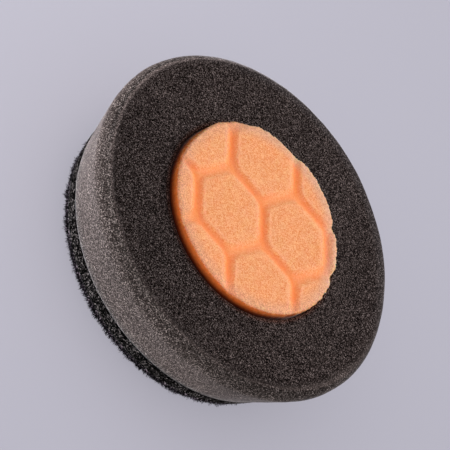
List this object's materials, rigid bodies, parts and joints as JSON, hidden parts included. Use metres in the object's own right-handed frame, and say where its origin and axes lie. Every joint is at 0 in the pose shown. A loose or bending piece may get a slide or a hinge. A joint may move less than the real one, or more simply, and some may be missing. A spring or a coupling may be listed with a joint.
{
  "type": "polishing pad",
  "caption": "Round foam polishing pad: a tapered charcoal ring around a raised orange plug with hexagonal channels, on a black foam interface with a loop fabric back.",
  "frame": {"origin": "centre of the loop fabric's back face, on the pad's axis", "axes": "+Z along the pad's axis, from the loop face towards the working face; +X and +Y are free, as the outside is round, and a row of the honeycomb's cells runs 12.3 degrees clockwise of +X"},
  "size_m": [0.09, 0.09, 0.0279],
  "materials": {
    "charcoal_foam": "matte",
    "orange_foam": "matte",
    "black_foam": "matte",
    "adhesive_film": "satin",
    "loop_fabric": "matte"
  },
  "bodies": {
    "root": {"loop_fabric": "loop_fabric", "rear_adhesive_film": "adhesive_film", "interface_foam": "black_foam", "front_adhesive_film": "adhesive_film", "foam_ring": "charcoal_foam", "hex_core": "orange_foam"}
  },
  "joints": []
}
